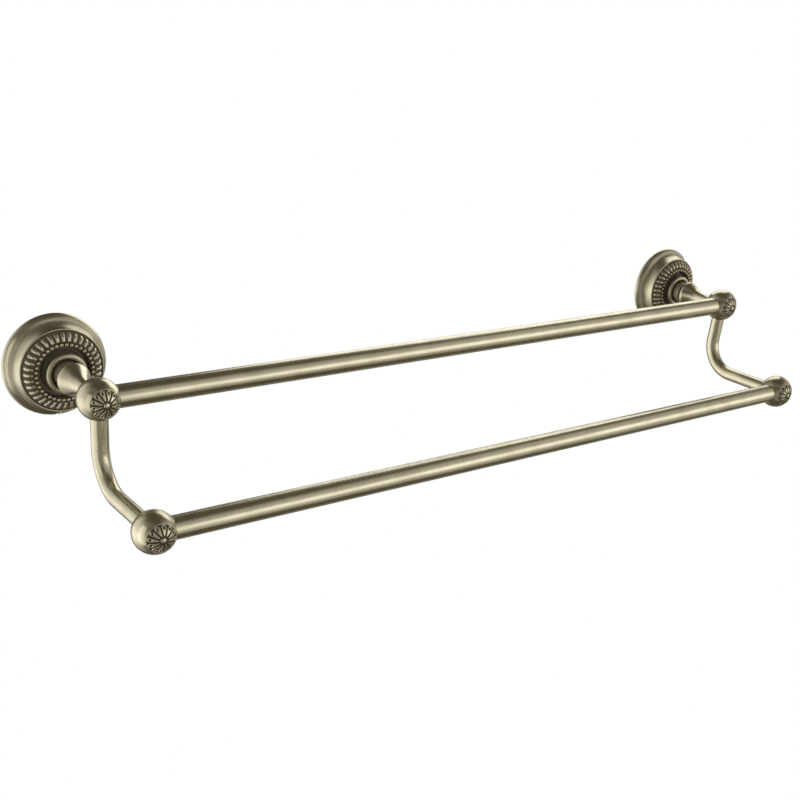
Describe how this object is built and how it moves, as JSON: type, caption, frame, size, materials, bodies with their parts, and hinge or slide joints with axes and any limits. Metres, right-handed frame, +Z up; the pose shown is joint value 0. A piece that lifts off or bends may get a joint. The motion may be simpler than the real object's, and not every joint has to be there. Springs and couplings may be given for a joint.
{
  "type": "double towel bar",
  "caption": "Wall-mounted double towel bar in antique brass, with ball-ended round bars, bent arms, daisy rosettes and beaded round wall flanges.",
  "frame": {"origin": "centre of the rectangle of the wall screw holes, on the wall plane, midway between the posts and level with the upper bar", "axes": "+X along the bars, +Y into the wall (the rack stands out towards -Y), +Z up"},
  "size_m": [0.6826, 0.173, 0.1112],
  "materials": {
    "antique_brass": "antiqued satin with dark oxide in the recesses",
    "brushed_brass": "antiqued, brushed along the tube",
    "relief_brass": "antiqued, dark oxide left between the raised ornament",
    "zinc": "plain die-cast",
    "steel": "zinc plated"
  },
  "bodies": {
    "root": {"left_wall_plate": "zinc", "left_flange": "antique_brass", "left_grub_screw": "steel", "left_ornament_ring": "relief_brass", "left_collar": "antique_brass", "left_neck": "antique_brass", "left_tie_washer": "steel", "left_tie_screw": "steel", "left_upper_ball": "antique_brass", "left_upper_rosette": "relief_brass", "left_lower_ball": "antique_brass", "left_lower_rosette": "relief_brass", "left_arm": "antique_brass", "right_wall_plate": "zinc", "right_flange": "antique_brass", "right_grub_screw": "steel", "right_ornament_ring": "relief_brass", "right_collar": "antique_brass", "right_neck": "antique_brass", "right_tie_washer": "steel", "right_tie_screw": "steel", "right_upper_ball": "antique_brass", "right_upper_rosette": "relief_brass", "right_lower_ball": "antique_brass", "right_lower_rosette": "relief_brass", "right_arm": "antique_brass"},
    "upper_rail": {"upper_bar": "brushed_brass"},
    "lower_rail": {"lower_bar": "brushed_brass"}
  },
  "joints": [
    {"name": "upper_bar_spin", "type": "hinge", "parent": "root", "child": "upper_rail", "pos_m": [0, -0.0785, 0], "axis": [1, 0, 0], "continuous": true},
    {"name": "lower_bar_spin", "type": "hinge", "parent": "root", "child": "lower_rail", "pos_m": [0, -0.158, -0.0606], "axis": [1, 0, 0], "continuous": true}
  ]
}
